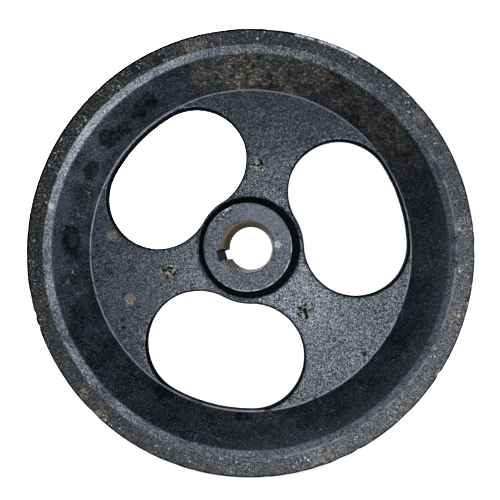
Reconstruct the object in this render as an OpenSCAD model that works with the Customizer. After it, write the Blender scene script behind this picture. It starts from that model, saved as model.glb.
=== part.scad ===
// Belt drive wheel with a keyed bore: a grooved rim, a web with three
// kidney-shaped windows, and a hub that is held on its shaft by a key and
// two set screws. Millimetres. The origin is the middle of the bore.
// The wheel turns about Y, its front face looks towards -Y, and Z is up.

/* [Rim] */
// Outside diameter of the rim
rim_d = 248; // [244:1:260]
// Width of the rim, from front face to rear face
rim_w = 64; // [62:1:70]
// Radial width of the flat band on each face of the rim
rim_band = 9.7; // [8:0.1:11]
// Size of the chamfer inside each face of the rim
rim_chamfer = 3.2; // [2:0.1:4]
// Size of the bevel on the two outside corners
rim_edge_bevel = 0.8; // [0.4:0.1:1.2]

/* [Belt grooves] */
// Number of V-belt grooves
groove_count = 3; // [1:1:3]
// Distance from one groove to the next
groove_pitch = 19; // [18:0.5:20]
// Width of a groove at the outside of the rim
groove_top_w = 15; // [12:0.5:16]
// Depth of a groove
groove_depth = 12.5; // [10:0.5:13]
// Angle between the two walls of a groove
groove_angle = 38; // [34:1:40]

/* [Web] */
// Thickness of the web
web_t = 6; // [5:0.5:8]
// Outside diameter of the web, where it sits in the rim
web_d = 204; // [202:1:206]
// Diameter of the opening in front of the web, at the foot of the rim's wall
web_front_d = 196.2; // [195.6:0.1:199]
// Gap between the end of a window and that opening
window_outer_gap = 0.8; // [0.8:0.1:4]
// Radius of the inner edge of the windows
window_inner_r = 34; // [33.8:0.1:38]
// Half of the angle between the centres of a window's two round ends
window_half_angle = 14.6; // [10:0.1:18]
// Direction of the first window
window_angle = 16.6; // [0:0.1:119]

/* [Hub] */
// Outside diameter of the hub
hub_d = 49; // [48:0.5:49.5]
// Length of the hub
hub_l = 64; // [60:1:70]
// Diameter of the bore, 1 1/8 in
bore_d = 28.575; // [25:0.005:30]
// Width of the keyway, 1/4 in
keyway_w = 6.35; // [5:0.05:8]
// Depth of the keyway, from the wall of the bore
keyway_depth = 2.95; // [2.5:0.05:3.2]
// Size of the bevel on the edges of the hub
hub_bevel = 0.5; // [0.3:0.1:1]

/* [Welds] */
// Leg of the fillet welds between hub and web
hub_weld_leg = 8; // [4:0.5:8]
// Leg of the seam bead between web and rim, at the front
rim_bead_leg = 0.5; // [0.4:0.1:0.5]
// Leg of the fillet weld between web and rim, at the rear
rim_weld_leg = 4; // [3:0.5:4.5]

/* [Gate stubs] */
// Distance of the gate stubs from the middle of the bore
stub_circle_r = 51; // [45:1:60]
// Height of the gate stubs above the web
stub_h = 0.9; // [0.5:0.1:1.5]
// Width of a stub's top, as a share of the width of its foot
stub_top_share = 0.7; // [0.5:0.05:0.9]

/* [Set screws] */
// Thread diameter of the set screws
screw_d = 8; // [6:1:8]
// Length of the set screws
screw_l = 6; // [5:0.5:6.5]
// Distance of the set screws behind the middle of the hub
screw_back = 20; // [16:1:24]
// Width of the socket, across its flats
socket_af = 4; // [3:0.5:4]
// Depth of the socket
socket_depth = 3; // [2:0.5:3.5]

/* [Hidden] */
rim_r = rim_d / 2;
half_w = rim_w / 2;
mouth_r = rim_r - rim_band;               // inner edge of the flat band
wall_r = mouth_r - rim_chamfer;           // top of the tapered wall
web_r = web_d / 2;
web_front_r = web_front_d / 2;
web_z = web_t / 2;                        // front face of the web
wall_h = half_w - rim_chamfer - web_z;    // height of the tapered walls
front_taper = (wall_r - web_front_r) / wall_h;
rear_taper = (wall_r - web_r) / wall_h;

groove_floor_w = groove_top_w - 2 * groove_depth * tan(groove_angle / 2);

window_outer_r = web_front_r - window_outer_gap;
window_end_swell = 0.05;                  // so that the round ends cross the long edges
window_end_r = (window_outer_r - window_inner_r) / 2 + window_end_swell;
window_mid_r = (window_outer_r + window_inner_r) / 2;
window_shifts = [[-0.5, 0.15], [1.1, -0.65], [0.1, -0.3]];   // of each rough-cast window
window_count = len(window_shifts);
window_step = 360 / window_count;
arm_angle = window_angle + window_step / 2;

hub_r = hub_d / 2;
bore_r = bore_d / 2;
keyway_floor_r = bore_r + keyway_depth;
keyway_angle = arm_angle + window_step;   // in line with an arm
side_screw_angle = keyway_angle + 90;

screw_r = screw_d / 2;
screw_play = 0.05;                        // between thread and tapped hole
thread_pitch = 1.25;
thread_depth = 0.45;
thread_start = 0.8;                       // height of the thread above the point
screw_point_r = 2.4;
screw_cup_depth = 1.2;
screw_recess = 0.6;                       // of a resting point behind the bore

fillet_steps = 8;                         // straight runs in a hollow fillet

// [direction, radius] of each lump that a gate left on the web
stub_lumps = [[84, 4.6], [196.4, 4.6], [309.4, 3.9], [315.4, 3.4]];

through = 1;                              // how far a cut runs past a face
$fn = 120;

// Everything is drawn around Z with the front face up, then laid on its axle.
module on_axle() rotate([90, 0, 0]) children();

// A ring around the axle with the given section: points of radius and height.
module ring(section) rotate_extrude() polygon(section);

// One belt groove's outline at height z, from its upper to its lower lip.
function groove_section(z) = [
    [rim_r, z + groove_top_w / 2],
    [rim_r - groove_depth, z + groove_floor_w / 2],
    [rim_r - groove_depth, z - groove_floor_w / 2],
    [rim_r, z - groove_top_w / 2]
];

function groove_z(i) = ((groove_count - 1) / 2 - i) * groove_pitch;

module belt_rim() {
    outside = [for (i = [0 : groove_count - 1]) each groove_section(groove_z(i))];
    color([0.13, 0.14, 0.16]) on_axle() ring(concat(
        [[mouth_r, half_w], [rim_r - rim_edge_bevel, half_w],
         [rim_r, half_w - rim_edge_bevel]],
        outside,
        [[rim_r, -half_w + rim_edge_bevel], [rim_r - rim_edge_bevel, -half_w],
         [mouth_r, -half_w], [wall_r, -half_w + rim_chamfer],
         [web_r, -web_z], [web_r, web_z], [web_front_r, web_z],
         [wall_r, half_w - rim_chamfer]]));
}

// The outline of one window, around the direction of X.
module window_outline() {
    for (side = [-1, 1])
        rotate(side * window_half_angle)
            translate([window_mid_r, 0]) circle(r = window_end_r);
    intersection() {
        difference() {
            circle(r = window_outer_r);
            circle(r = window_inner_r);
        }
        reach = 2 * window_outer_r;
        polygon([[0, 0],
                 [reach * cos(window_half_angle), -reach * sin(window_half_angle)],
                 [reach * cos(window_half_angle), reach * sin(window_half_angle)]]);
    }
}

module web_plate() {
    color([0.22, 0.24, 0.28]) on_axle()
        translate([0, 0, -web_z]) linear_extrude(web_t) difference() {
            circle(r = web_r);
            circle(r = hub_r);
            for (i = [0 : window_count - 1])
                translate(window_shifts[i])
                    rotate(window_angle + i * window_step) window_outline();
        }
}

module keyed_bore() {
    translate([0, 0, -hub_l / 2 - through]) {
        cylinder(r = bore_r, h = hub_l + 2 * through);
        rotate(keyway_angle) translate([0, -keyway_w / 2, 0])
            cube([keyway_floor_r, keyway_w, hub_l + 2 * through]);
    }
}

// Puts a screw or its hole in the hub's wall, pointing outwards along Z.
module at_screw(angle)
    rotate(angle) translate([0, 0, -screw_back]) rotate([0, 90, 0]) children();

module hub() {
    face_r = hub_r - hub_bevel;
    color([0.36, 0.38, 0.42]) on_axle() difference() {
        ring([[0, hub_l / 2], [face_r, hub_l / 2], [hub_r, hub_l / 2 - hub_bevel],
              [hub_r, -hub_l / 2 + hub_bevel], [face_r, -hub_l / 2], [0, -hub_l / 2]]);
        keyed_bore();
        for (angle = [keyway_angle, side_screw_angle])
            at_screw(angle) cylinder(r = screw_r + screw_play, h = hub_r + through);
    }
}

// The hollow fillet between the hub and one face of the web.
module hub_weld(side) {
    hollow = [for (i = [0 : fillet_steps])
        let (a = 90 * i / fillet_steps)
        [hub_r + hub_weld_leg * (1 - sin(a)), web_z + hub_weld_leg * (1 - cos(a))]];
    mirror([0, 0, side < 0 ? 1 : 0]) ring(concat([[hub_r, web_z]], hollow));
}

module hub_weld_front() color([0.09, 0.09, 0.10]) on_axle() hub_weld(1);
module hub_weld_rear() color([0.09, 0.09, 0.10]) on_axle() hub_weld(-1);

module rim_weld_front() {
    color([0.40, 0.42, 0.44]) on_axle() ring([
        [web_front_r - rim_bead_leg, web_z],
        [web_front_r, web_z],
        [web_front_r + rim_bead_leg * front_taper, web_z + rim_bead_leg]]);
}

module rim_weld_rear() {
    color([0.15, 0.16, 0.18]) on_axle() mirror([0, 0, 1]) ring([
        [web_r - rim_weld_leg, web_z],
        [web_r, web_z],
        [web_r + rim_weld_leg * rear_taper, web_z + rim_weld_leg]]);
}

// The rough lumps left on the arms where the casting's gates broke off.
module arm_gate_stubs() {
    color([0.35, 0.30, 0.26]) on_axle()
        for (lump = stub_lumps)
            rotate(lump[0]) translate([stub_circle_r, 0, web_z])
                cylinder(r1 = lump[1], r2 = stub_top_share * lump[1], h = stub_h);
}

// A hexagon socket set screw with a cup point, its point at height 0.
module set_screw() {
    turns = floor((screw_l - thread_start) / thread_pitch);
    root_r = screw_r - thread_depth;
    thread = [for (i = [0 : turns - 1])
        let (z = thread_start + i * thread_pitch)
        each [[root_r, z], [screw_r, z + thread_pitch / 2]]];
    difference() {
        ring(concat([[0, 0], [screw_point_r, 0]], thread,
                    [[root_r, screw_l], [0, screw_l]]));
        translate([0, 0, screw_l - socket_depth])
            cylinder(d = socket_af / cos(30), h = socket_depth + through, $fn = 6);
        translate([0, 0, -through])
            cylinder(r1 = screw_point_r, r2 = 0, h = through + screw_cup_depth);
    }
}

module keyway_set_screw() {
    color([0.20, 0.20, 0.21]) on_axle()
        at_screw(keyway_angle) translate([0, 0, keyway_floor_r + screw_recess]) set_screw();
}

module side_set_screw() {
    color([0.20, 0.20, 0.21]) on_axle()
        at_screw(side_screw_angle) translate([0, 0, bore_r + screw_recess]) set_screw();
}

belt_rim();
web_plate();
hub();
hub_weld_front();
hub_weld_rear();
rim_weld_front();
rim_weld_rear();
arm_gate_stubs();
keyway_set_screw();
side_set_screw();
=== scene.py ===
"""The looks of the belt drive wheel: cast and turned surfaces, worn blue-black paint, soft studio light."""

import math

import bmesh
import bpy
import numpy as np
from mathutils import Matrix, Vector
from mathutils.geometry import delaunay_2d_cdt


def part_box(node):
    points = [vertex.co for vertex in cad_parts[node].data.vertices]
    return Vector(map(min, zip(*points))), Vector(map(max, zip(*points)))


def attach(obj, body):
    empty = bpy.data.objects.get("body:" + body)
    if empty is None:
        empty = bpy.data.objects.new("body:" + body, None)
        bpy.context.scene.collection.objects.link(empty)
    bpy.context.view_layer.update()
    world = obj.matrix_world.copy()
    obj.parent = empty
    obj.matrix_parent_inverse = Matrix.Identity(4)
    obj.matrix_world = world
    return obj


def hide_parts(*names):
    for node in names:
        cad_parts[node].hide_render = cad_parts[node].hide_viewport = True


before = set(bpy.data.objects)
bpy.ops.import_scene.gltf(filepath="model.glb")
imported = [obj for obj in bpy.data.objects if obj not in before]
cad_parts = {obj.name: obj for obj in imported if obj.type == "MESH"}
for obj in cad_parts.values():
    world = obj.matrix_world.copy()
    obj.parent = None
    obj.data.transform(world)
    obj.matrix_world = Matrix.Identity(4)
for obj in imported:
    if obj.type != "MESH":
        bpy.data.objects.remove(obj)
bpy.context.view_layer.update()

MM = 0.001

# Sizes of the wheel, in metres. Heights run along the axle, from the middle to the front.
RIM_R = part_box("belt_rim")[1].x
RIM_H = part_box("belt_rim")[1].y
BAND = 9.7 * MM
CHAMFER = 3.2 * MM
GROOVE_PITCH = 19.0 * MM
GROOVE_TOP = 7.5 * MM
GROOVE_FLOOR = 3.2 * MM
GROOVE_DEPTH = 12.5 * MM
MOUTH_R = RIM_R - BAND
WALL_R = MOUTH_R - CHAMFER
WEB_R = 102.0 * MM
WEB_FRONT_R = 98.1 * MM
WEB_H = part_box("web_plate")[1].y
WINDOW_OUTER_R = 97.3 * MM
WINDOW_INNER_R = 34.0 * MM
WINDOW_HALF_ANGLE = math.radians(14.6)
# The direction of each window, and how far its core had moved sideways and up in the mould
WINDOWS = [(math.radians(16.6), (-0.5 * MM, 0.15 * MM)),
           (math.radians(136.6), (1.1 * MM, -0.65 * MM)),
           (math.radians(256.6), (0.1 * MM, -0.3 * MM))]
HUB_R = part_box("hub")[1].x
HUB_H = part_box("hub")[1].y
BORE_R = 28.575 / 2 * MM
KEYWAY_HALF_W = 6.35 / 2 * MM
KEYWAY_FLOOR = BORE_R + 2.95 * MM
KEYWAY_ANGLE = math.radians(196.6)
SCREW_HOLE_R = 4.05 * MM
SCREW_HEIGHT = -20.0 * MM
STUB_CIRCLE_R = 51.0 * MM
FRONT_BEAD_LEG = 0.5 * MM
REAR_BEAD_LEG = 4 * MM

# Damage and lumps: directions in degrees, reaches and depths in millimetres
RIM_DENT_DEPTH = 0.8 * MM
RIM_DENTS = [(197.6, 2.4), (200.9, 2.0), (298.6, 1.9), (326.4, 2.4)]
HUB_CHIPS = [(134, 2.6, 0.9), (128, 3.0, 1.1), (122, 2.4, 0.8), (117, 1.8, 0.6)]
# The direction, half length and half width of each broken gate
STUBS = [(84, 4.2, 5.0), (196.4, 5.2, 4.2), (309.4, 4.3, 3.7), (315.4, 3.7, 3.3)]


# ---------------------------------------------------------------- shapes

def unit(vector):
    """The vector scaled to a length of 1."""
    return vector / np.linalg.norm(vector)


def lumps(points, size, seed):
    """Smooth noise from -1 to 1 at each point, with lumps of the given size."""
    cells = 32
    rng = np.random.default_rng(seed)
    table = rng.uniform(-1, 1, (cells, cells, cells))
    place = points / size + rng.uniform(0, cells, 3)
    low = np.floor(place).astype(int)
    part = place - low
    part = part * part * (3 - 2 * part)
    total = np.zeros(len(points))
    for corner in np.ndindex(2, 2, 2):
        weight = np.prod(np.where(corner, part, 1 - part), axis=1)
        cell = (low + corner) % cells
        total += weight * table[cell[:, 0], cell[:, 1], cell[:, 2]]
    return total


def corner_points(corner, before, after, steps=4):
    """The arc that rounds one corner (radius, height, rounding), or the corner itself."""
    here = np.array(corner[:2])
    rounding = corner[2]
    if rounding == 0:
        return [here]
    back = unit(np.array(before[:2]) - here)
    on = unit(np.array(after[:2]) - here)
    half = math.acos(float(np.clip(back @ on, -1, 1))) / 2
    middle = here + unit(back + on) * rounding / math.sin(half)
    start = here + back * rounding / math.tan(half) - middle
    end = here + on * rounding / math.tan(half) - middle
    first = math.atan2(start[1], start[0])
    sweep = (math.atan2(end[1], end[0]) - first + math.pi) % (2 * math.pi) - math.pi
    turns = [first + sweep * k / steps for k in range(steps + 1)]
    return [middle + rounding * np.array([math.cos(t), math.sin(t)]) for t in turns]


def rounded(corners):
    """A closed outline through corners of (radius, height, rounding)."""
    count = len(corners)
    points = []
    for i, corner in enumerate(corners):
        points += corner_points(corner, corners[i - 1], corners[(i + 1) % count])
    return np.array(points)


def run_counts(outline, spacing, back_spacing=None):
    """How many steps each run of an outline needs. Runs behind the middle may have longer steps."""
    after = np.roll(outline, -1, axis=0)
    gaps = np.linalg.norm(after - outline, axis=1)
    behind = (outline[:, 1] + after[:, 1]) / 2 < 0
    longest = np.where(behind, back_spacing or spacing, spacing)
    return np.maximum(1, np.ceil(gaps / longest)).astype(int)


def stepped(outline, counts):
    """The outline with each run cut into the given number of steps."""
    after = np.roll(outline, -1, axis=0)
    return np.concatenate([here + (there - here) * np.arange(n)[:, None] / n
                           for here, there, n in zip(outline, after, counts)])


def new_piece(name, points, faces):
    """A smooth-shaded mesh object with its faces turned outwards."""
    mesh = bpy.data.meshes.new(name)
    mesh.from_pydata(points.tolist(), [], faces.tolist() if hasattr(faces, "tolist") else faces)
    shape = bmesh.new()
    shape.from_mesh(mesh)
    bmesh.ops.remove_doubles(shape, verts=shape.verts, dist=0.005 * MM)
    bmesh.ops.recalc_face_normals(shape, faces=shape.faces)
    shape.to_mesh(mesh)
    shape.free()
    mesh.shade_smooth()
    piece = bpy.data.objects.new(name, mesh)
    bpy.context.scene.collection.objects.link(piece)
    return piece


def ring_of(name, outlines, angles):
    """A closed ring around the axle from one outline of (radius, height) at each angle."""
    outlines = np.asarray(outlines)
    columns, rows = outlines.shape[:2]
    cos, sin = np.cos(angles)[:, None], np.sin(angles)[:, None]
    points = np.stack([outlines[..., 0] * cos, -outlines[..., 1], outlines[..., 0] * sin], axis=-1)
    i, j = (grid.ravel() for grid in np.meshgrid(np.arange(columns), np.arange(rows), indexing="ij"))
    i2, j2 = (i + 1) % columns, (j + 1) % rows
    faces = np.stack([i * rows + j, i2 * rows + j, i2 * rows + j2, i * rows + j2], axis=-1)
    return new_piece(name, points.reshape(-1, 3), faces)


def lathe(name, corners, segments, spacing, back_spacing=None):
    """A ring with the same rounded section all the way round."""
    outline = rounded(corners)
    outline = stepped(outline, run_counts(outline, spacing, back_spacing))
    angles = np.arange(segments) * 2 * math.pi / segments
    return ring_of(name, np.broadcast_to(outline, (segments, *outline.shape)), angles)


def points_of(piece):
    """The places of a piece's points, one row each."""
    points = np.empty(len(piece.data.vertices) * 3)
    piece.data.vertices.foreach_get("co", points)
    return points.reshape(-1, 3)


def push(piece, amounts):
    """Moves each point of a piece out along its normal."""
    mesh = piece.data
    normals = np.empty(len(mesh.vertices) * 3)
    mesh.vertex_normals.foreach_get("vector", normals)
    moved = points_of(piece) + normals.reshape(-1, 3) * amounts[:, None]
    mesh.vertices.foreach_set("co", moved.ravel())
    mesh.update()


def around(points):
    """The radius from the axle and the height to the front of each point."""
    return np.hypot(points[:, 0], points[:, 2]), -points[:, 1]


def dent(points, centre, reach):
    """How close each point is to centre: 1 there, 0 from reach on."""
    gap = np.linalg.norm(points - np.array(centre), axis=1) / reach
    return np.clip(1 - gap, 0, 1) ** 2 * (1 + 2 * np.clip(gap, 0, 1))


def at(radius, height, angle):
    """The place at a radius, a height to the front and an angle in degrees around the axle."""
    turn = math.radians(angle)
    return (radius * math.cos(turn), -height, radius * math.sin(turn))


def settle(piece):
    """Applies the modifiers of a piece."""
    seen = piece.evaluated_get(bpy.context.evaluated_depsgraph_get())
    mesh = bpy.data.meshes.new_from_object(seen)
    piece.modifiers.clear()
    old = piece.data
    piece.data = mesh
    bpy.data.meshes.remove(old)
    mesh.shade_smooth()


# ---------------------------------------------------------------- pieces

def make_rim():
    """The rim: a turned casting with a wide dish on each side and grooves for the belts."""
    outside = []
    for i in (1, 0, -1):
        height = i * GROOVE_PITCH
        outside += [(RIM_R, height + GROOVE_TOP, 0.5 * MM),
                    (RIM_R - GROOVE_DEPTH, height + GROOVE_FLOOR, 0.8 * MM),
                    (RIM_R - GROOVE_DEPTH, height - GROOVE_FLOOR, 0.8 * MM),
                    (RIM_R, height - GROOVE_TOP, 0.5 * MM)]
    corners = [(MOUTH_R, RIM_H, 0.5 * MM), (RIM_R, RIM_H, 0.9 * MM), *outside,
               (RIM_R, -RIM_H, 0.9 * MM), (MOUTH_R, -RIM_H, 0.5 * MM),
               (WALL_R, -RIM_H + CHAMFER, 0.6 * MM), (WEB_R, -WEB_H, 0), (WEB_R, WEB_H, 0),
               (WEB_FRONT_R, WEB_H, 0), (WALL_R, RIM_H - CHAMFER, 0.6 * MM)]
    rim = lathe("rim_casting", corners, 540, 1.4 * MM, 4.5 * MM)
    points = points_of(rim)
    radius, height = around(points)
    cast = (radius < WALL_R + 0.3 * MM).astype(float)
    relief = 0.05 * MM * lumps(points, 2.4 * MM, 1) * cast
    relief += 0.09 * MM * lumps(points, 7 * MM, 2) * cast
    relief += 0.02 * MM * lumps(points, 1.6 * MM, 3)
    band = (np.abs(height) > RIM_H - 1.2 * MM) & (radius > MOUTH_R)
    pits = np.clip(lumps(points, 2.0 * MM, 4) - 0.45, 0, 1) * band
    relief -= 0.35 * MM * pits
    edge = np.hypot(radius - RIM_R, np.abs(height) - RIM_H)
    bruises = np.clip(lumps(points, 9 * MM, 5) - 0.35, 0, 1) * np.exp(-(edge / (1.3 * MM)) ** 2)
    relief -= 0.6 * MM * bruises
    inner_edge = np.hypot(radius - MOUTH_R, np.abs(height) - RIM_H)
    scuffs = np.clip(lumps(points, 5 * MM, 6) - 0.3, 0, 1) * np.exp(-(inner_edge / (1.2 * MM)) ** 2)
    relief -= 0.4 * MM * scuffs
    for turn, reach in RIM_DENTS:
        relief -= RIM_DENT_DEPTH * dent(points, at(RIM_R, RIM_H, turn), reach * MM)
    push(rim, relief)
    return rim


def arc(radius, first, last, steps, middle=(0, 0)):
    """Points along an arc of a flat outline."""
    turns = np.linspace(first, last, steps, endpoint=False)
    return [(middle[0] + radius * math.cos(t), middle[1] + radius * math.sin(t)) for t in turns]


def window_outline(direction, shift, grow=0.0):
    """A kidney: two long arcs around the axle, joined by two round ends, and grown by some amount."""
    end_r = (WINDOW_OUTER_R - WINDOW_INNER_R) / 2 + grow
    middle_r = (WINDOW_OUTER_R + WINDOW_INNER_R) / 2
    low, high = direction - WINDOW_HALF_ANGLE, direction + WINDOW_HALF_ANGLE
    ends = [(middle_r * math.cos(t), middle_r * math.sin(t)) for t in (low, high)]
    outline = (arc(WINDOW_OUTER_R + grow, low, high, 72)
               + arc(end_r, high, high + math.pi, 140, ends[1])
               + arc(WINDOW_INNER_R - grow, high, low, 26)
               + arc(end_r, low + math.pi, low + 2 * math.pi, 140, ends[0]))
    return [(x + shift[0], z + shift[1]) for x, z in outline]


def off_windows(points):
    """How far each flat point lies outside the nearest window. Inside it is negative."""
    middle_r = (WINDOW_OUTER_R + WINDOW_INNER_R) / 2
    nearest = np.full(len(points), np.inf)
    for direction, shift in WINDOWS:
        moved = points - shift
        radius, angle = np.hypot(moved[:, 0], moved[:, 1]), np.arctan2(moved[:, 1], moved[:, 0])
        off = (angle - direction + math.pi) % (2 * math.pi) - math.pi
        past = off - np.clip(off, -WINDOW_HALF_ANGLE, WINDOW_HALF_ANGLE)
        gap = np.hypot(radius * np.cos(past) - middle_r, radius * np.sin(past))
        nearest = np.minimum(nearest, gap)
    return nearest - (WINDOW_OUTER_R - WINDOW_INNER_R) / 2


def flat_web(loops, inner_r, rounding, spacing):
    """Points and triangles of the web's flat face between its loops."""
    rng = np.random.default_rng(10)
    along = np.arange(-WEB_R, WEB_R, spacing)
    inside = np.stack(np.meshgrid(along, along), axis=-1).reshape(-1, 2)
    inside += rng.uniform(-0.25, 0.25, inside.shape) * spacing
    radius = np.hypot(inside[:, 0], inside[:, 1])
    clear = 0.6 * spacing
    inside = inside[(radius > inner_r + clear) & (radius < WEB_R - clear)
                    & (off_windows(inside) > rounding + clear)]
    edges, start = [], 0
    for loop in loops:
        edges += [(start + k, start + (k + 1) % len(loop)) for k in range(len(loop))]
        start += len(loop)
    flat = [Vector(p) for loop in loops for p in loop] + [Vector(p) for p in inside]
    made, _, faces, *_ = delaunay_2d_cdt(flat, edges, [], 0, 1e-8)
    made, faces = np.array([tuple(p) for p in made]), np.array(faces)
    centres = made[faces].mean(axis=1)
    solid = (np.hypot(centres[:, 0], centres[:, 1]) > inner_r) & (off_windows(centres) > rounding * 0.99)
    return made, faces[solid]


def make_web():
    """The web: a cast disc with three windows, their edges rounded as they left the mould."""
    rounding, drop, spacing = 2.0 * MM, 0.9 * MM, 0.8 * MM
    inner_r = HUB_R - 0.2 * MM
    bends = [math.pi / 2 * k / 5 for k in range(6)]
    rows = [(rounding * (1 - math.sin(t)), WEB_H - drop * (1 - math.cos(t))) for t in bends]
    rows += [(grow, -height) for grow, height in reversed(rows)]
    sides = [[(arc(WEB_R, 0, 2 * math.pi, 360), h) for h in (WEB_H, -WEB_H)],
             [(arc(inner_r, 0, 2 * math.pi, 120), h) for h in (WEB_H, -WEB_H)]]
    sides += [[(window_outline(turn, shift, grow), height) for grow, height in rows]
              for turn, shift in WINDOWS]
    flat, triangles = flat_web([side[0][0] for side in sides], inner_r, rounding, spacing)
    points = [(x, -h, z) for h in (WEB_H, -WEB_H) for x, z in flat]
    faces = triangles.tolist() + (triangles[:, ::-1] + len(flat)).tolist()
    for side in sides:
        for outline, height in side:
            points += [(x, -height, z) for x, z in outline]
        count = len(side[0][0])
        start = len(points) - count * len(side)
        faces += [[start + row * count + k, start + row * count + (k + 1) % count,
                   start + (row + 1) * count + (k + 1) % count, start + (row + 1) * count + k]
                  for row in range(len(side) - 1) for k in range(count)]
    web = new_piece("web_casting", np.array(points), faces)
    relief_points = points_of(web)
    relief = 0.06 * MM * lumps(relief_points, 1.9 * MM, 11)
    relief += 0.08 * MM * lumps(relief_points, 6 * MM, 12)
    relief += 0.10 * MM * lumps(relief_points, 25 * MM, 13)
    push(web, relief)
    return web


def hub_corners(inner_r):
    """The hub's section in one direction, where its bore or keyway has this radius."""
    return [(inner_r, HUB_H, 0.35 * MM), (HUB_R, HUB_H, 0.6 * MM),
            (HUB_R, -HUB_H, 0.6 * MM), (inner_r, -HUB_H, 0.35 * MM)]


def bore_radius(turn):
    """How far the wall of the bore or keyway is from the axle, in one direction."""
    off = (turn - KEYWAY_ANGLE + math.pi) % (2 * math.pi) - math.pi
    if abs(off) < math.atan(KEYWAY_HALF_W / KEYWAY_FLOOR):
        return KEYWAY_FLOOR / math.cos(off)
    if abs(off) < math.asin(KEYWAY_HALF_W / BORE_R):
        return KEYWAY_HALF_W / abs(math.sin(off))
    return BORE_R


def make_hub():
    """The hub: a turned sleeve with a keyway and two tapped holes behind the web."""
    floor_edge = math.atan(KEYWAY_HALF_W / KEYWAY_FLOOR)
    bore_edge = math.asin(KEYWAY_HALF_W / BORE_R)
    keyway = [KEYWAY_ANGLE + side * part for side in (-1, 1)
              for part in (floor_edge, bore_edge, bore_edge + 0.002, floor_edge - 0.002)]
    angles = np.unique(np.concatenate([np.arange(360) * 2 * math.pi / 360, keyway]))
    plain = rounded(hub_corners(BORE_R))
    counts = run_counts(plain, 0.9 * MM)
    outlines = [stepped(rounded(hub_corners(bore_radius(turn))), counts) for turn in angles]
    hub = ring_of("hub_sleeve", outlines, angles)
    points = points_of(hub)
    relief = 0.03 * MM * lumps(points, 1.8 * MM, 21) + 0.04 * MM * lumps(points, 5 * MM, 22)
    for turn, reach, depth in HUB_CHIPS:
        chip = dent(points, at(HUB_R, HUB_H, turn), reach * MM)
        relief -= depth * MM * chip * (0.75 + 0.5 * lumps(points, 0.9 * MM, 23))
    push(hub, relief)
    drill_screw_holes(hub)
    return hub


def drill_screw_holes(hub):
    """Cuts the hole over the keyway, and the one a quarter turn further round."""
    for turn in (KEYWAY_ANGLE, KEYWAY_ANGLE + math.pi / 2):
        bpy.ops.mesh.primitive_cylinder_add(vertices=96, radius=SCREW_HOLE_R, depth=HUB_R)
        drill = bpy.context.object
        outward = Vector((math.cos(turn), 0, math.sin(turn)))
        drill.rotation_euler = outward.to_track_quat("Z", "Y").to_euler()
        drill.location = outward * (HUB_R / 2 + 8 * MM) + Vector((0, -SCREW_HEIGHT, 0))
        cut = hub.modifiers.new("hole", "BOOLEAN")
        cut.object, cut.operation, cut.solver = drill, "DIFFERENCE", "MANIFOLD"
        settle(hub)
        bpy.data.objects.remove(drill)
    hub.data.set_sharp_from_angle(angle=math.radians(50))


def make_hub_fillet(name, side):
    """The hollow fillet that runs round the hub on one face of the web, which carries the painted shade
    beside the hub.
    """
    leg, sunk = 8.0 * MM, 0.3 * MM
    turns = np.linspace(0, math.pi / 2, 14)
    hollow = [(HUB_R + leg * (1 - math.sin(t)), WEB_H + leg * (1 - math.cos(t)), 0) for t in turns]
    corners = [(HUB_R - sunk, WEB_H + leg, 0), (HUB_R - sunk, WEB_H - sunk, 0),
               (HUB_R + leg, WEB_H - sunk, 0), *hollow]
    if side < 0:
        corners = [(r, -h, rounding) for r, h, rounding in corners]
    fillet = lathe(name, corners, 300, 0.9 * MM)
    points = points_of(fillet)
    push(fillet, 0.06 * MM * lumps(points, 3 * MM, 31) + 0.03 * MM * lumps(points, 1.3 * MM, 32))
    return fillet


def make_rim_bead(name, foot_r, leg, taper, side):
    """The bead in the corner between web and rim, with a slightly hollow face."""
    sunk = 0.25 * MM
    toe = (foot_r - leg, WEB_H)
    top = (foot_r + leg * taper, WEB_H + leg)
    hollow = ((toe[0] + top[0]) / 2 + 0.06 * leg, (toe[1] + top[1]) / 2 - 0.10 * leg)
    corners = [(toe[0], toe[1] - sunk, 0), (foot_r + sunk, WEB_H - sunk, 0),
               (top[0] + sunk, top[1], 0), (*top, 0), (*hollow, 0), (*toe, 0)]
    if side < 0:
        corners = [(r, -h, rounding) for r, h, rounding in corners]
    bead = lathe(name, corners, 720, 0.4 * MM)
    points = points_of(bead)
    push(bead, 0.02 * MM * lumps(points, 1.5 * MM, 33) + 0.03 * MM * lumps(points, 5 * MM, 34))
    return bead


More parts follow.
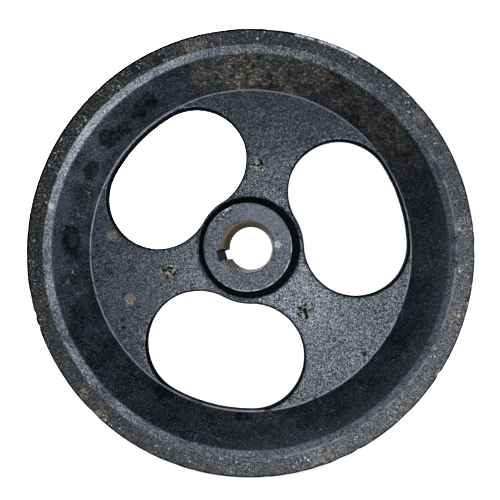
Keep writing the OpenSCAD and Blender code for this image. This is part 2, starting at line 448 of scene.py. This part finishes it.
def make_stub(name, angle, half_long, half_wide, seed):
    """One broken-off gate: a low lump with a torn, cratered top."""
    rings, around_count, height = 16, 56, 0.9 * MM
    rng = np.random.default_rng(seed)
    turns = np.arange(around_count) * 2 * math.pi / around_count
    waves = sum(rng.uniform(-0.10, 0.10) * np.cos(k * turns + rng.uniform(0, 6.3)) for k in range(2, 7))
    points = [(0.0, 0.0, 1.0)]
    for ring in range(1, rings + 1):
        share = ring / rings
        for turn, wave in zip(turns, waves):
            reach = share * (1 + wave)
            points.append((reach * half_long * math.cos(turn), reach * half_wide * math.sin(turn),
                           math.sqrt(max(0.0, 1 - share ** 4))))
    flat = np.array(points)
    rough = lumps(flat * (1, 1, 0), 1.4 * MM, seed) + 0.7 * lumps(flat * (1, 1, 0), 0.7 * MM, seed + 1)
    rise = flat[:, 2] * height * (0.62 + 0.5 * rough)
    rise[-around_count:] = -0.3 * MM
    turn = math.radians(angle)
    out = STUB_CIRCLE_R + flat[:, 0]
    across = flat[:, 1]
    placed = np.stack([out * math.cos(turn) - across * math.sin(turn), -WEB_H - rise,
                       out * math.sin(turn) + across * math.cos(turn)], axis=-1)
    faces = [[0, 1 + k, 1 + (k + 1) % around_count] for k in range(around_count)]
    for ring in range(rings - 1):
        start = 1 + ring * around_count
        faces += [[start + k, start + around_count + k, start + around_count + (k + 1) % around_count,
                   start + (k + 1) % around_count] for k in range(around_count)]
    faces.append(list(range(1 + (rings - 1) * around_count, 1 + rings * around_count))[::-1])
    stub = new_piece(name, placed, faces)
    stub.data.shade_flat()
    return stub


# ---------------------------------------------------------------- materials

DULL_BLACK = (0.003, 0.003, 0.004)
CHIP_BLACK = (0.004, 0.004, 0.004)
POCK_BLACK = (0.006, 0.006, 0.007)
PIT_BLACK = (0.008, 0.007, 0.007)


def add(tree, kind, values=None, **settings):
    """A node with its settings and its inputs, each a number, a colour or another node's output."""
    made = tree.nodes.new(kind)
    for key, value in settings.items():
        setattr(made, key, value)
    for key, value in (values or {}).items():
        if isinstance(value, bpy.types.NodeSocket):
            tree.links.new(value, made.inputs[key])
        else:
            made.inputs[key].default_value = value
    return made


def new_material(name):
    """A material with its node tree, its shader and the place of the shaded point."""
    material = bpy.data.materials.new(name)
    material.use_nodes = True
    tree = material.node_tree
    place = add(tree, "ShaderNodeTexCoord").outputs["Object"]
    return material, tree, tree.nodes["Principled BSDF"], place


def grain(tree, place, size_mm, detail=3.0, roughness=0.55):
    """Noise from 0 to 1 with lumps of about this size."""
    values = {"Vector": place, "Scale": 1000.0 / size_mm, "Detail": detail, "Roughness": roughness}
    return add(tree, "ShaderNodeTexNoise", values).outputs["Fac"]


def step(tree, value, low, high):
    """0 below low, 1 above high, smooth between them. Low may be the larger."""
    values = {"Value": value, "From Min": low, "From Max": high}
    return add(tree, "ShaderNodeMapRange", values, interpolation_type="SMOOTHSTEP").outputs["Result"]


def scaled(tree, value, low, high):
    """A value from 0 to 1 spread between low and high."""
    return add(tree, "ShaderNodeMapRange", {"Value": value, "To Min": low, "To Max": high}).outputs["Result"]


def calc(tree, operation, first, second):
    """The output of one maths node."""
    return add(tree, "ShaderNodeMath", {0: first, 1: second}, operation=operation).outputs[0]


def mix(tree, share, first, second):
    """A colour between two colours."""
    made = tree.nodes.new("ShaderNodeMix")
    made.data_type = "RGBA"
    factor, colour_a, colour_b = (made.inputs[i] for i in (0, 6, 7))
    for socket, value in ((factor, share), (colour_a, first), (colour_b, second)):
        if isinstance(value, bpy.types.NodeSocket):
            tree.links.new(value, socket)
        else:
            socket.default_value = value if socket == factor else (*value, 1.0)
    return made.outputs[2]


def bumped(tree, height, depth_mm, normal=None):
    """A normal from a height between 0 and 1, for bumps of this depth."""
    values = {"Height": height, "Distance": depth_mm * MM, "Strength": 1.0}
    if normal is not None:
        values["Normal"] = normal
    return add(tree, "ShaderNodeBump", values).outputs["Normal"]


def polar(tree, place):
    """The radius from the axle, and the height towards the front, of the shaded point."""
    parts = add(tree, "ShaderNodeSeparateXYZ", {"Vector": place}).outputs
    flat = add(tree, "ShaderNodeCombineXYZ", {"X": parts["X"], "Z": parts["Z"]}).outputs["Vector"]
    radius = add(tree, "ShaderNodeVectorMath", {0: flat}, operation="LENGTH").outputs["Value"]
    return radius, calc(tree, "MULTIPLY", parts["Y"], -1.0)


def toward(tree, place, radius, angle):
    """1 on the side of the wheel that lies in this direction, -1 on the opposite side."""
    values = {0: place, 1: at(1.0, 0.0, angle)}
    along = add(tree, "ShaderNodeVectorMath", values, operation="DOT_PRODUCT").outputs["Value"]
    return calc(tree, "DIVIDE", along, radius)


def glinting(tree, shader, fine, low, high, share=1.0):
    """Varies the gloss from pit to glint."""
    level = scaled(tree, step(tree, fine, 0.42, 0.66), low, high)
    tree.links.new(calc(tree, "MULTIPLY", level, share), shader.inputs["Specular IOR Level"])


def connect(tree, shader, colour, roughness, normal):
    """Links a colour, a roughness and a normal to the material's shader."""
    tree.links.new(colour, shader.inputs["Base Color"])
    tree.links.new(roughness, shader.inputs["Roughness"])
    tree.links.new(normal, shader.inputs["Normal"])


def both(tree, first, second):
    """1 where both masks are 1."""
    return calc(tree, "MULTIPLY", first, second)


def spot(tree, place, centre, reach, ragged):
    """A round mask with a ragged edge: 1 near its centre, 0 from about its reach on."""
    gap = add(tree, "ShaderNodeVectorMath", {0: place, 1: centre}, operation="DISTANCE").outputs["Value"]
    edge = calc(tree, "ADD", gap, calc(tree, "MULTIPLY", ragged, reach))
    return step(tree, edge, 1.45 * reach, 1.05 * reach)


def facing_front(tree):
    """1 where the surface faces along the axle, 0 where it leans away by about 20 degrees or more."""
    normal = add(tree, "ShaderNodeTexCoord").outputs["Normal"]
    along = add(tree, "ShaderNodeSeparateXYZ", {"Vector": normal}).outputs["Y"]
    return step(tree, calc(tree, "ABSOLUTE", along, 0.0), 0.945, 0.985)


def speckled(tree, place, base, dark, bright):
    """Paint that breaks up into fine dark pits and bright glints."""
    fine = grain(tree, place, 0.70, 4, 0.70)
    pits = grain(tree, place, 0.95, 4, 0.70)
    colour = mix(tree, step(tree, pits, 0.53, 0.42), base, dark)
    return mix(tree, step(tree, fine, 0.555, 0.66), colour, bright), fine


def pock_marked(tree, place, colour, share):
    """A colour broken up by dark pits a little larger than the paint's grain."""
    pits = step(tree, grain(tree, place, 1.45, 3, 0.70), 0.49, 0.41)
    return mix(tree, calc(tree, "MULTIPLY", pits, share), colour, POCK_BLACK)


def web_colour(tree, place):
    """The blue-black paint of the web, now bluer and now more violet, with its fine speckle."""
    clouds = grain(tree, place, 30, 2)
    tint = step(tree, grain(tree, place, 9, 3, 0.6), 0.38, 0.62)
    blue = mix(tree, tint, (0.010, 0.018, 0.025), (0.016, 0.018, 0.028))
    base = mix(tree, step(tree, clouds, 0.35, 0.65), blue, (0.022, 0.027, 0.035))
    glint = mix(tree, tint, (0.090, 0.135, 0.180), (0.120, 0.130, 0.175))
    return speckled(tree, place, base, (0.004, 0.005, 0.006), glint)


def spots(tree, place, height, places, ragged):
    """The mask of several round spots, each given by its radius, direction and reach in mm."""
    mask = 0.0
    for radius, angle, reach in places:
        here = spot(tree, place, at(radius * MM, height, angle), reach * MM, ragged)
        mask = calc(tree, "MAXIMUM", here, mask)
    return mask


def cast_paint():
    """Semi-gloss blue-black paint over the orange-peel skin of the web's casting, with painted shade on the
    rounded window edges.
    """
    material, tree, shader, place = new_material("cast_paint")
    colour, fine = web_colour(tree, place)
    radius, _ = polar(tree, place)
    mottle = grain(tree, place, 4, 4, 0.6)
    ragged = grain(tree, place, 2.2, 4, 0.7)
    crumbs = grain(tree, place, 0.9, 3, 0.7)
    rust = mix(tree, step(tree, crumbs, 0.40, 0.60), (0.075, 0.040, 0.020), (0.42, 0.30, 0.21))
    rusty = spots(tree, place, WEB_H, ((84.9, 175.2, 4.2), (79.5, 203.4, 4.6)), ragged)
    colour = mix(tree, both(tree, rusty, scaled(tree, crumbs, 0.1, 1.0)), colour, rust)
    pits = ((89.0, 209.6, 1.6), (91.0, 212.4, 1.8), (93.9, 317.3, 2.0))
    pitted = spots(tree, place, WEB_H, pits, ragged)
    colour = mix(tree, pitted, colour, PIT_BLACK)
    edge = facing_front(tree)
    # Painted shade: the rounded window edges go dull black where they turn away from the front.
    colour = mix(tree, edge, DULL_BLACK, colour)
    roughness = calc(tree, "SUBTRACT", scaled(tree, mottle, 0.80, 0.94), calc(tree, "MULTIPLY", edge, 0.60))
    normal = bumped(tree, fine, 0.07)
    normal = bumped(tree, mottle, 0.10, normal)
    connect(tree, shader, colour, roughness, normal)
    near_hub = scaled(tree, step(tree, radius, 80 * MM, 38 * MM), 1.0, 1.45)
    share = both(tree, both(tree, near_hub, scaled(tree, edge, 0.1, 1.0)), scaled(tree, pitted, 1.0, 0.1))
    glinting(tree, shader, fine, 0.05, 1.5, share)
    return material


def wall_smudges(tree, place, mottle):
    """Where the wall's paint is smudged dull black, in ragged patches."""
    upper = ((107, 125, 9), (104, 129, 8), (101, 136, 8), (108, 142, 10), (104, 154, 8), (106, 177, 10),
             (102, 181, 9))
    patches = spots(tree, place, RIM_H / 2, upper, mottle)
    lower = spots(tree, place, WEB_H + 3 * MM, ((100, 239, 9), (101, 268, 6)), mottle)
    share = scaled(tree, step(tree, mottle, 0.40, 0.62), 0.85, 0.55)
    return both(tree, calc(tree, "MAXIMUM", patches, lower), share)


def dusted(tree, place, paint, clouds, mottle):
    """The wall's paint under brown dust, which lies thickest at the top."""
    crumbs = grain(tree, place, 1.7, 5, 0.75)
    streaks = mix(tree, step(tree, crumbs, 0.50, 0.64), (0.050, 0.042, 0.031), (0.400, 0.335, 0.245))
    for turn, reach, share in ((103, 17, 0.5), (91, 25, 1.0), (74, 24, 0.8), (58, 20, 0.5), (42, 20, 0.65),
                               (30, 15, 0.35)):
        dust = spot(tree, place, at(WALL_R - 3 * MM, RIM_H / 2, turn), reach * MM, clouds)
        dust = both(tree, dust, scaled(tree, step(tree, mottle, 0.34, 0.58), 0.0, share))
        paint = mix(tree, dust, paint, streaks)
    rust = spot(tree, place, at(WEB_FRONT_R, WEB_H + 0.8 * MM, 32), 2.4 * MM, crumbs)
    return mix(tree, both(tree, rust, step(tree, crumbs, 0.40, 0.55)), paint, (0.26, 0.12, 0.08))


def wall_colour(tree, place, radius, mottle, fine):
    """Blue-black paint with specks, greyer towards the mouth at the lower right, and greyer to the left as
    painted light where the wall faces the light.
    """
    paint = mix(tree, step(tree, mottle, 0.40, 0.70), (0.010, 0.012, 0.016), (0.024, 0.029, 0.037))
    # Painted light: the wall on the left, which faces the light, is painted greyer.
    left = step(tree, toward(tree, place, radius, 165), 0.75, 0.98)
    paint = mix(tree, calc(tree, "MULTIPLY", left, 0.6), paint, (0.036, 0.046, 0.050))
    clean = step(tree, grain(tree, place, 15, 3, 0.6), 0.40, 0.58)
    paint = mix(tree, clean, (0.005, 0.005, 0.006), paint)
    near_mouth = both(tree, step(tree, radius, WALL_R - 6 * MM, WALL_R),
                      step(tree, toward(tree, place, radius, 320), 0.3, 0.8))
    paint = mix(tree, calc(tree, "MULTIPLY", near_mouth, 0.6), paint, (0.046, 0.054, 0.060))
    paint = mix(tree, step(tree, fine, 0.55, 0.66), paint, (0.150, 0.158, 0.170))
    specks = step(tree, grain(tree, place, 1.3, 3, 0.7), 0.640, 0.675)
    specks = both(tree, specks, step(tree, grain(tree, place, 20, 2), 0.44, 0.56))
    return mix(tree, specks, paint, (0.50, 0.53, 0.56))


def edge_outline(tree, place, radius, size, mottle):
    """Painted shade as a dull black line round the rim's outer edge, full and wider at the upper left, and
    the stretch where the edge is rubbed bright.
    """
    on_edge = step(tree, size, RIM_H - 3 * MM, RIM_H - 2 * MM)
    shade_side = step(tree, toward(tree, place, radius, 130), 0.2, 0.6)
    wider = calc(tree, "ADD", radius, calc(tree, "MULTIPLY", shade_side, 0.5 * MM))
    line = both(tree, step(tree, wider, RIM_R - 1.3 * MM, RIM_R - 0.9 * MM), on_edge)
    dull = calc(tree, "MAXIMUM", step(tree, mottle, 0.68, 0.56), shade_side)
    stretch = tuple((124, 61 + 3 * k, 4.2) for k in range(6))
    beside = both(tree, step(tree, radius, RIM_R - 2.3 * MM, RIM_R - 1.9 * MM),
                  step(tree, radius, RIM_R - 0.7 * MM, RIM_R - 1.1 * MM))
    wear_and_highlight = both(tree, both(tree, beside, on_edge), spots(tree, place, RIM_H, stretch, mottle))
    return both(tree, both(tree, line, dull), calc(tree, "SUBTRACT", 1.0, wear_and_highlight)), wear_and_highlight


def band_colour(tree, place, radius, clouds, mottle):
    """Brown-black paint on the flat band, darker to the left as painted shade, with rust, dust and bright
    flecks.
    """
    blue = step(tree, toward(tree, place, radius, 35), 0.55, 0.88)
    base = mix(tree, blue, (0.025, 0.024, 0.021), (0.026, 0.029, 0.035))
    # Painted shade: the band is darker to the left, away from the light.
    dark = step(tree, toward(tree, place, radius, 160), 0.60, 0.95)
    base = mix(tree, dark, base, (0.012, 0.011, 0.009))
    band, _ = speckled(tree, place, base, CHIP_BLACK, (0.26, 0.25, 0.225))
    brown = mix(tree, step(tree, clouds, 0.45, 0.62), band, (0.040, 0.033, 0.024))
    band = mix(tree, step(tree, mottle, 0.50, 0.62), band, brown)
    crumbs = grain(tree, place, 1.5, 4, 0.75)
    dusty = spots(tree, place, RIM_H, ((119, 105, 8), (120, 222, 4), (121, 229, 5), (119, 289, 8),
                                      (119, 37, 4), (119, 6, 6)), mottle)
    dusty = both(tree, dusty, step(tree, crumbs, 0.42, 0.58))
    band = mix(tree, calc(tree, "MULTIPLY", dusty, 0.8), band, (0.210, 0.175, 0.125))
    rusty = spots(tree, place, RIM_H, ((119, 315, 5), (118, 341, 5)), mottle)
    rusty = both(tree, rusty, step(tree, crumbs, 0.44, 0.58))
    band = mix(tree, calc(tree, "MULTIPLY", rusty, 0.55), band, (0.240, 0.140, 0.065))
    smudge = spots(tree, place, RIM_H, ((118, 115, 5), (119, 122, 4)), clouds)
    band = mix(tree, smudge, band, CHIP_BLACK)
    band = pock_marked(tree, place, band, 0.7)
    flecks = step(tree, grain(tree, place, 1.25, 3, 0.65), 0.635, 0.665)
    some = step(tree, grain(tree, place, 13, 2), 0.44, 0.54)
    return mix(tree, both(tree, flecks, some), band, (0.74, 0.73, 0.70))


def rubbed_colour(tree, place, radius, clouds):
    """The chamfer's light worn paint, broken and speckled, darker on the lower right as painted shade, with
    painted highlights at the upper left and left and a light line along the mouth's edge on the lower right.
    """
    rub, _ = speckled(tree, place, (0.165, 0.177, 0.191), (0.012, 0.013, 0.015), (0.80, 0.83, 0.86))
    patches = grain(tree, place, 6, 4, 0.65)
    # Painted shade: the chamfer is darker on the lower right.
    shade_side = step(tree, toward(tree, place, radius, 335), 0.30, 0.85)
    rub = mix(tree, calc(tree, "MULTIPLY", shade_side, 0.45), rub, (0.070, 0.077, 0.084))
    bare = both(tree, step(tree, patches, 0.50, 0.40), step(tree, clouds, 0.58, 0.48))
    rub = mix(tree, calc(tree, "MULTIPLY", bare, 0.5), rub, (0.024, 0.026, 0.030))
    rub = pock_marked(tree, place, rub, 0.75)
    broken = step(tree, patches, 0.38, 0.60)
    # Painted highlights: lighter paint near the wall away from the lower right, and over much of the chamfer
    # at the upper left and left.
    inner = both(tree, step(tree, radius, WALL_R + 2.2 * MM, WALL_R + 0.5 * MM), broken)
    inner = both(tree, inner, step(tree, shade_side, 0.6, 0.1))
    bright, _ = speckled(tree, place, (0.300, 0.315, 0.330), (0.030, 0.033, 0.037), (0.95, 0.97, 1.0))
    painted_highlights = spots(tree, place, RIM_H - CHAMFER / 2,
                 ((112, 110, 13), (112, 143, 15), (112, 192, 14), (112, 216, 16), (112, 234, 12)), patches)
    lit = calc(tree, "MAXIMUM", calc(tree, "MULTIPLY", inner, 0.4), calc(tree, "MULTIPLY", painted_highlights, 0.7))
    rub = mix(tree, lit, rub, pock_marked(tree, place, bright, 0.6))
    beige = both(tree, spots(tree, place, RIM_H, ((113.5, 168.5, 4),), patches), broken)
    rub = mix(tree, calc(tree, "MULTIPLY", beige, 0.7), rub, (0.55, 0.48, 0.36))
    line = both(tree, step(tree, radius, MOUTH_R - 0.9 * MM, MOUTH_R - 0.4 * MM),
                step(tree, radius, MOUTH_R + 0.4 * MM, MOUTH_R))
    line = both(tree, both(tree, line, shade_side), broken)
    return mix(tree, calc(tree, "MULTIPLY", line, 0.8), rub, (0.40, 0.42, 0.44))


def rim_paint():
    """The same paint on the rim: rubbed on the chamfer, dusty on the wall, pitted on the band, with painted
    light and shade on the chamfer, wall, band and outer edge.
    """
    material, tree, shader, place = new_material("rim_paint")
    radius, height = polar(tree, place)
    size = calc(tree, "ABSOLUTE", height, 0.0)
    clouds = grain(tree, place, 30, 3)
    mottle = grain(tree, place, 5, 4, 0.6)
    fine = grain(tree, place, 0.75, 4, 0.70)
    on_face = step(tree, size, RIM_H - 0.9 * MM, RIM_H - 0.4 * MM)
    on_band = both(tree, on_face, step(tree, radius, MOUTH_R - 0.3 * MM, MOUTH_R + 0.4 * MM))
    on_chamfer = both(tree, step(tree, radius, WALL_R - 0.6 * MM, WALL_R + 0.3 * MM),
                      step(tree, radius, MOUTH_R + 0.7 * MM, MOUTH_R - 0.2 * MM))
    on_chamfer = both(tree, on_chamfer, step(tree, size, RIM_H - CHAMFER - 2 * MM, RIM_H - CHAMFER - 1 * MM))
    wall = wall_colour(tree, place, radius, mottle, fine)
    colour = dusted(tree, place, wall, clouds, mottle)
    smudged = wall_smudges(tree, place, mottle)
    colour = mix(tree, smudged, colour, DULL_BLACK)
    colour = mix(tree, on_chamfer, colour, rubbed_colour(tree, place, radius, clouds))
    colour = mix(tree, on_band, colour, band_colour(tree, place, radius, clouds, mottle))
    edge_shade, wear_and_highlight = edge_outline(tree, place, radius, size, mottle)
    # Painted shade: the rim's outer edge is painted black.
    colour = mix(tree, edge_shade, colour, (0.002, 0.002, 0.002))
    colour = mix(tree, both(tree, wear_and_highlight, step(tree, fine, 0.40, 0.55)), colour, (0.62, 0.60, 0.55))
    roughness = calc(tree, "ADD", scaled(tree, mottle, 0.26, 0.38), calc(tree, "MULTIPLY", on_band, 0.06))
    roughness = calc(tree, "MAXIMUM", roughness, calc(tree, "MULTIPLY", edge_shade, 0.95))
    normal = bumped(tree, fine, 0.10)
    normal = bumped(tree, mottle, 0.12, normal)
    connect(tree, shader, colour, roughness, normal)
    lit = scaled(tree, step(tree, toward(tree, place, radius, 325), -1.0, 1.0), 0.35, 1.15)
    share = calc(tree, "ADD", both(tree, on_band, lit), calc(tree, "SUBTRACT", 1.0, on_band))
    on_wall = calc(tree, "SUBTRACT", 1.0, calc(tree, "MAXIMUM", on_band, on_chamfer))
    dull = calc(tree, "MAXIMUM", edge_shade, both(tree, smudged, on_wall))
    share = both(tree, share, scaled(tree, dull, 1.0, 0.05))
    glinting(tree, shader, fine, 0.15, 1.3, share)
    return material


def hub_face_colour(tree, place, radius, ragged):
    """Grey-blue paint with brown tints, lighter towards the upper right, chipped at one edge."""
    face, fine = speckled(tree, place, (0.070, 0.080, 0.093), (0.012, 0.014, 0.017), (0.34, 0.36, 0.39))
    # The face is lighter towards the upper right.
    lighter_side = step(tree, toward(tree, place, radius, 55), 0.30, 1.0)
    face = mix(tree, calc(tree, "MULTIPLY", lighter_side, 0.4), face, (0.175, 0.185, 0.200))
    tint = both(tree, step(tree, grain(tree, place, 7, 2), 0.52, 0.66), step(tree, ragged, 0.45, 0.6))
    face = mix(tree, calc(tree, "MULTIPLY", tint, 0.5), face, (0.16, 0.105, 0.070))
    near_edge = step(tree, radius, BORE_R + 1.6 * MM, BORE_R + 0.3 * MM)
    face = mix(tree, both(tree, near_edge, step(tree, ragged, 0.46, 0.60)), face, (0.12, 0.060, 0.040))
    lip = step(tree, radius, BORE_R + 0.75 * MM, BORE_R + 0.45 * MM)
    face = mix(tree, both(tree, lip, step(tree, ragged, 0.60, 0.48)), face, (0.010, 0.007, 0.006))
    slivers = step(tree, grain(tree, place, 1.0, 3), 0.57, 0.61)
    chips = mix(tree, slivers, CHIP_BLACK, (0.72, 0.71, 0.68))
    chipped = ((116, 1.6, 2.0), (122, 1.6, 2.2), (129, 2.2, 2.5), (136, 1.8, 2.3), (142, 1.0, 1.5))
    for turn, inset, reach in chipped:
        chip = spot(tree, place, at(HUB_R - inset * MM, HUB_H, turn), reach * MM, ragged)
        face = mix(tree, chip, face, chips)
    bright = spot(tree, place, at(HUB_R - 0.6 * MM, HUB_H, 120), 1.5 * MM, ragged)
    face = mix(tree, bright, face, (0.66, 0.65, 0.62))
    scuff = spot(tree, place, at(16.8 * MM, HUB_H, 4), 2.7 * MM, ragged)
    scuff = both(tree, scuff, step(tree, ragged, 0.42, 0.52))
    face = mix(tree, scuff, face, (0.52, 0.49, 0.48))
    pit = spot(tree, place, at(17.8 * MM, HUB_H, 24), 1.0 * MM, ragged)
    return mix(tree, pit, face, PIT_BLACK), fine


def bore_colour(tree, place, radius, mottle):
    """Olive-brown oil and rust in the bore, nearly black in the keyway."""
    bore = mix(tree, step(tree, mottle, 0.4, 0.65), (0.200, 0.170, 0.065), (0.330, 0.245, 0.105))
    low = step(tree, toward(tree, place, radius, 262), 0.55, 0.90)
    bore = mix(tree, low, bore, (0.310, 0.180, 0.095))
    deep = step(tree, radius, BORE_R + 0.3 * MM, BORE_R + 0.9 * MM)
    return mix(tree, deep, bore, mix(tree, mottle, (0.006, 0.004, 0.003), (0.070, 0.026, 0.016)))


def hub_metal():
    """The hub's paint, painted bright on its edge at the lower right as a highlight, and gone from its bore.
    """
    material, tree, shader, place = new_material("hub_metal")
    radius, height = polar(tree, place)
    mottle = grain(tree, place, 3.5, 4, 0.6)
    face, fine = hub_face_colour(tree, place, radius, grain(tree, place, 1.6, 4, 0.7))
    # Painted highlight: the hub's front edge is painted bright towards the lower right.
    wear_and_highlight = both(tree, step(tree, radius, HUB_R - 0.75 * MM, HUB_R - 0.35 * MM),
                step(tree, height, HUB_H - 1.2 * MM, HUB_H - 0.5 * MM))
    wear_and_highlight = both(tree, wear_and_highlight, step(tree, toward(tree, place, radius, 300), -0.05, 0.6))
    face = mix(tree, both(tree, wear_and_highlight, step(tree, mottle, 0.40, 0.52)), face, (0.55, 0.57, 0.60))
    in_bore = both(tree, step(tree, radius, KEYWAY_FLOOR + 0.5 * MM, KEYWAY_FLOOR + 0.2 * MM),
                   step(tree, calc(tree, "ABSOLUTE", height, 0.0), HUB_H - 0.15 * MM, HUB_H - 0.5 * MM))
    colour = mix(tree, in_bore, face, bore_colour(tree, place, radius, mottle))
    side = both(tree, step(tree, radius, HUB_R - 0.3 * MM, HUB_R - 0.1 * MM),
                step(tree, height, HUB_H - 0.5 * MM, HUB_H - 0.9 * MM))
    colour = mix(tree, side, colour, POCK_BLACK)
    connect(tree, shader, colour, scaled(tree, fine, 0.34, 0.48), bumped(tree, fine, 0.14))
    glinting(tree, shader, fine, 0.12, 1.20, scaled(tree, in_bore, 1.0, 0.02))
    return material


def hub_corner_shade():
    """Painted shade: black in the corner beside the hub, thinning out to the web's own paint."""
    material, tree, shader, place = new_material("hub_corner_shade")
    radius, _ = polar(tree, place)
    web, fine = web_colour(tree, place)
    mottle = grain(tree, place, 3, 3, 0.6)
    wider = calc(tree, "MULTIPLY", toward(tree, place, radius, 80), 0.3 * MM)
    edge = calc(tree, "ADD", radius, calc(tree, "MULTIPLY", mottle, 1.2 * MM))
    out = step(tree, calc(tree, "SUBTRACT", edge, wider), HUB_R + 6.8 * MM, HUB_R + 7.7 * MM)
    # Painted shade: black near the hub, the web's paint further out.
    colour = mix(tree, out, (0.0035, 0.0035, 0.004), web)
    roughness = calc(tree, "SUBTRACT", scaled(tree, mottle, 0.75, 0.9), calc(tree, "MULTIPLY", out, 0.4))
    connect(tree, shader, colour, roughness, bumped(tree, fine, 0.20))
    glinting(tree, shader, fine, 0.05, 1.5, scaled(tree, out, 0.05, 1.45))
    return material


def seam_paint():
    """The bead in the corner between web and rim, painted light all round as a highlight, brightest where it
    faces the light.
    """
    material, tree, shader, place = new_material("seam_paint")
    radius, _ = polar(tree, place)
    mottle = grain(tree, place, 7, 4, 0.7)
    lit = calc(tree, "ADD", toward(tree, place, radius, 315), scaled(tree, mottle, -0.5, 0.5))
    # Painted highlight: the bead is light all round, lightest towards the lower right.
    colour = mix(tree, step(tree, lit, 0.30, 0.95), (0.190, 0.198, 0.208), (0.37, 0.39, 0.42))
    colour = mix(tree, step(tree, mottle, 0.42, 0.34), colour, (0.030, 0.032, 0.036))
    connect(tree, shader, colour, scaled(tree, mottle, 0.32, 0.42), bumped(tree, mottle, 0.04))
    return material


def broken_iron():
    """The bare torn metal of a broken gate: black pits between curled light ridges."""
    material, tree, shader, place = new_material("broken_iron")
    fine = grain(tree, place, 2.6, 3, 0.65)
    off_ridge = calc(tree, "ABSOLUTE", calc(tree, "SUBTRACT", fine, 0.5), 0.0)
    ridge = step(tree, off_ridge, 0.064, 0.026)
    tint = mix(tree, step(tree, grain(tree, place, 4, 2), 0.42, 0.58), (0.30, 0.21, 0.13), (0.62, 0.61, 0.58))
    colour = mix(tree, ridge, (0.005, 0.005, 0.005), tint)
    connect(tree, shader, colour, scaled(tree, ridge, 0.75, 0.45), bumped(tree, ridge, 0.20))
    tree.links.new(scaled(tree, ridge, 0.1, 0.9), shader.inputs["Specular IOR Level"])
    return material


def black_oxide():
    """The black finish of a hardened screw."""
    material, tree, shader, place = new_material("black_oxide")
    fine = grain(tree, place, 0.6, 3, 0.6)
    colour = mix(tree, fine, (0.012, 0.012, 0.014), (0.035, 0.035, 0.040))
    connect(tree, shader, colour, scaled(tree, fine, 0.28, 0.42), bumped(tree, fine, 0.02))
    shader.inputs["Metallic"].default_value = 0.6
    return material


# ---------------------------------------------------------------- scene

def fit(piece, node, material):
    """Puts a piece in the place of a CAD node, on the wheel's body."""
    piece.data.materials.clear()
    piece.data.materials.append(material)
    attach(piece, "wheel")
    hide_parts(node)


def make_wheel():
    """Makes every piece and puts it in the place of its CAD node."""
    paint, black = rim_paint(), hub_corner_shade()
    fit(make_rim(), "belt_rim", paint)
    fit(make_web(), "web_plate", cast_paint())
    fit(make_hub(), "hub", hub_metal())
    fit(make_hub_fillet("front_hub_fillet", 1), "hub_weld_front", black)
    fit(make_hub_fillet("rear_hub_fillet", -1), "hub_weld_rear", black)
    wall_h = RIM_H - CHAMFER - WEB_H
    front_taper = (WALL_R - WEB_FRONT_R) / wall_h
    rear_taper = (WALL_R - WEB_R) / wall_h
    bead = make_rim_bead("front_rim_bead", WEB_FRONT_R, FRONT_BEAD_LEG, front_taper, 1)
    fit(bead, "rim_weld_front", seam_paint())
    bead = make_rim_bead("rear_rim_bead", WEB_R, REAR_BEAD_LEG, rear_taper, -1)
    fit(bead, "rim_weld_rear", paint)
    iron = broken_iron()
    for i, (angle, half_long, half_wide) in enumerate(STUBS):
        stub = make_stub(f"gate_stub_{i + 1}", angle, half_long * MM, half_wide * MM, 40 + 3 * i)
        fit(stub, "arm_gate_stubs", iron)
    oxide = black_oxide()
    for node in ("keyway_set_screw", "side_set_screw"):
        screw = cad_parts[node].data
        screw.materials.clear()
        screw.materials.append(oxide)


def add_camera():
    """A wide lens close in front of the wheel, which leans back a little."""
    camera = bpy.data.cameras.new("camera")
    camera.lens, camera.sensor_width = 34.9, 36.0
    camera.shift_x, camera.shift_y = -0.0026, -0.0486
    camera.clip_start, camera.clip_end = 0.01, 50
    holder = bpy.data.objects.new("camera", camera)
    bpy.context.scene.collection.objects.link(holder)
    holder.location = (9.7 * MM, -299.4 * MM, -3.9 * MM)
    aim = Vector((-0.0285, 0.998, 0.0583))
    holder.rotation_euler = aim.to_track_quat("-Z", "Y").to_euler()
    bpy.context.scene.camera = holder


# Soft lights far away: direction, inner and outer half-angle in degrees, and strength.
LIGHTS = [((0.12, -0.985, -0.14), 8, 20.5, 5.4),
          ((0.72, -0.42, -0.54), 5, 28, 6.0),
          ((-0.3, -0.5, 0.8), 10, 45, 1.0),
          ((-0.35, 0.88, 0.32), 8, 32, 4.0)]
ROOM = 0.25


def add_world():
    """A dim room with soft lights in it, and plain white behind everything."""
    world = bpy.data.worlds.new("studio")
    bpy.context.scene.world = world
    world.use_nodes = True
    tree = world.node_tree
    background = tree.nodes["Background"]
    background.inputs["Color"].default_value = (0.89, 0.97, 1.10, 1)
    way = add(tree, "ShaderNodeTexCoord").outputs["Generated"]
    total = ROOM
    for direction, inner, outer, strength in LIGHTS:
        values = {0: way, 1: unit(np.array(direction)).tolist()}
        turn = add(tree, "ShaderNodeVectorMath", values, operation="DOT_PRODUCT").outputs["Value"]
        lit = step(tree, turn, math.cos(math.radians(outer)), math.cos(math.radians(inner)))
        total = calc(tree, "ADD", calc(tree, "MULTIPLY", lit, strength), total)
    seen = add(tree, "ShaderNodeLightPath").outputs["Is Camera Ray"]
    total = calc(tree, "MAXIMUM", total, calc(tree, "MULTIPLY", seen, 1.15))
    tree.links.new(total, background.inputs["Strength"])


def add_floor():
    """A pale floor that only the camera sees, so that it doesn't shade the wheel from below."""
    bpy.ops.mesh.primitive_plane_add(size=40, location=(0, 0, -RIM_R))
    floor = bpy.context.object
    floor.name = "floor"
    floor.visible_diffuse = floor.visible_glossy = floor.visible_shadow = False
    pale, _, shader, _ = new_material("pale_floor")
    shader.inputs["Base Color"].default_value = (0.95, 0.95, 0.95, 1)
    shader.inputs["Roughness"].default_value = 0.9
    shader.inputs["Emission Color"].default_value = (1, 1, 1, 1)
    shader.inputs["Emission Strength"].default_value = 0.9
    floor.data.materials.append(pale)


def main():
    """Makes the scene."""
    add_camera()
    make_wheel()
    add_world()
    add_floor()
    bpy.context.scene.view_settings.view_transform = "Standard"
    bpy.context.view_layer.update()


main()
